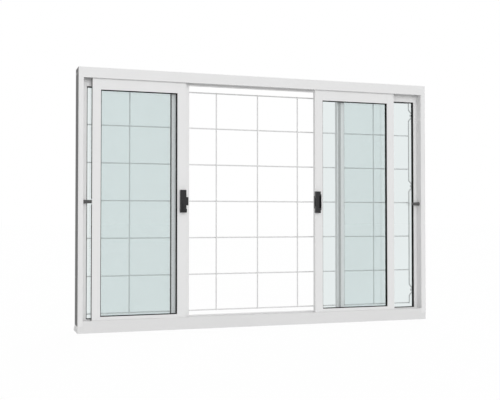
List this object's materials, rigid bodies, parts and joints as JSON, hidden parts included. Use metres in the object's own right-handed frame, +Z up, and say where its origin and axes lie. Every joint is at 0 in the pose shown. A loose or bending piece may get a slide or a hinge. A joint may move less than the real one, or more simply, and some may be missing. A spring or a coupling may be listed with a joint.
{
  "type": "sliding window with security grille",
  "caption": "White aluminium sliding window unit with fixed side panels, two rolling sashes that latch together, and a welded rod security grille fixed across the frame behind the glass.",
  "frame": {"origin": "centre of the frame's width and depth, on the flat underside of the sill", "axes": "+X along the width, to the right seen from the room; +Y from the room side out through the grille; +Z up"},
  "size_m": [1.5, 0.129, 1.02],
  "materials": {
    "white_paint": "satin white powder coat on aluminium",
    "grille_paint": "satin white powder coat on steel rod",
    "tinted_glass": "clear float glass with a faint green tint",
    "black_rubber": "matte black glazing rubber",
    "grey_rubber": "matte dark grey rubber",
    "black_plastic": "fine-textured black nylon",
    "end_cap_plastic": "matte white plastic",
    "zinc_steel": "zinc-plated",
    "black_steel": "black zinc-plated steel",
    "nylon": "natural nylon"
  },
  "bodies": {
    "root": {"head_rail": "white_paint", "sill_rail": "white_paint", "sill_end_caps": "end_cap_plastic", "jamb_left": "white_paint", "jamb_right": "white_paint", "frame_screws": "zinc_steel", "bumpers": "grey_rubber", "grille_upright_1": "grille_paint", "grille_upright_2": "grille_paint", "grille_upright_3": "grille_paint", "grille_upright_4": "grille_paint", "grille_upright_5": "grille_paint", "grille_upright_6": "grille_paint", "grille_upright_7": "grille_paint", "grille_cross_1": "grille_paint", "grille_cross_2": "grille_paint", "grille_cross_3": "grille_paint", "grille_cross_4": "grille_paint", "grille_cross_5": "grille_paint", "grille_top_bar": "grille_paint", "grille_bottom_bar": "grille_paint", "grille_end_left": "grille_paint", "grille_end_right": "grille_paint", "grille_clips": "grille_paint", "fixed_left_top_rail": "white_paint", "fixed_left_bottom_rail": "white_paint", "fixed_left_jamb_stile": "white_paint", "fixed_left_meeting_stile": "white_paint", "fixed_left_glass": "tinted_glass", "fixed_left_gasket": "black_rubber", "fixed_right_top_rail": "white_paint", "fixed_right_bottom_rail": "white_paint", "fixed_right_jamb_stile": "white_paint", "fixed_right_meeting_stile": "white_paint", "fixed_right_glass": "tinted_glass", "fixed_right_gasket": "black_rubber"},
    "left_sash": {"slide_left_top_rail": "white_paint", "slide_left_bottom_rail": "white_paint", "slide_left_outer_stile": "white_paint", "slide_left_lock_stile": "white_paint", "slide_left_glass": "tinted_glass", "slide_left_gasket": "black_rubber", "slide_left_carriages": "zinc_steel", "slide_left_meeting_strip": "white_paint", "latch_body": "black_plastic", "latch_screws": "black_steel"},
    "right_sash": {"slide_right_top_rail": "white_paint", "slide_right_bottom_rail": "white_paint", "slide_right_outer_stile": "white_paint", "slide_right_lock_stile": "white_paint", "slide_right_glass": "tinted_glass", "slide_right_gasket": "black_rubber", "slide_right_carriages": "zinc_steel", "keeper": "black_plastic"},
    "left_roller_a": {"slide_left_roller_a": "nylon"},
    "left_roller_b": {"slide_left_roller_b": "nylon"},
    "right_roller_a": {"slide_right_roller_a": "nylon"},
    "right_roller_b": {"slide_right_roller_b": "nylon"},
    "latch_lever": {"latch_lever": "black_plastic"},
    "latch_bolt": {"latch_bolt": "black_plastic"}
  },
  "joints": [
    {"name": "left_sash_slide", "type": "slide", "parent": "root", "child": "left_sash", "axis": [1, 0, 0], "range_m": [0, 0.3243]},
    {"name": "right_sash_slide", "type": "slide", "parent": "root", "child": "right_sash", "axis": [1, 0, 0], "range_m": [-0.2313, 0.092]},
    {"name": "left_roller_a_spin", "type": "hinge", "parent": "left_sash", "child": "left_roller_a", "pos_m": [-0.6355, -0.0225, 0.02655], "axis": [0, 1, 0], "range_deg": [-1, 2310]},
    {"name": "left_roller_b_spin", "type": "hinge", "parent": "left_sash", "child": "left_roller_b", "pos_m": [-0.3845, -0.0225, 0.02655], "axis": [0, 1, 0], "range_deg": [-1, 2310]},
    {"name": "right_roller_a_spin", "type": "hinge", "parent": "right_sash", "child": "right_roller_a", "pos_m": [0.5435, -0.0225, 0.02655], "axis": [0, 1, 0], "range_deg": [-1648, 656]},
    {"name": "right_roller_b_spin", "type": "hinge", "parent": "right_sash", "child": "right_roller_b", "pos_m": [0.2925, -0.0225, 0.02655], "axis": [0, 1, 0], "range_deg": [-1648, 656]},
    {"name": "latch_turn", "type": "hinge", "parent": "left_sash", "child": "latch_lever", "pos_m": [-0.3395, -0.0445, 0.507], "axis": [0, 1, 0], "range_deg": [0, 30]},
    {"name": "latch_bolt_slide", "type": "slide", "parent": "left_sash", "child": "latch_bolt", "axis": [-1, 0, 0], "range_m": [0, 0.008]}
  ],
  "couplings": [
    {"joint": "left_roller_a_spin", "follows": "left_sash_slide", "rad_per_m": 124.22},
    {"joint": "left_roller_b_spin", "follows": "left_sash_slide", "rad_per_m": 124.22},
    {"joint": "right_roller_a_spin", "follows": "right_sash_slide", "rad_per_m": 124.22},
    {"joint": "right_roller_b_spin", "follows": "right_sash_slide", "rad_per_m": 124.22},
    {"joint": "latch_bolt_slide", "follows": "latch_turn", "m_per_rad": 0.0152}
  ]
}
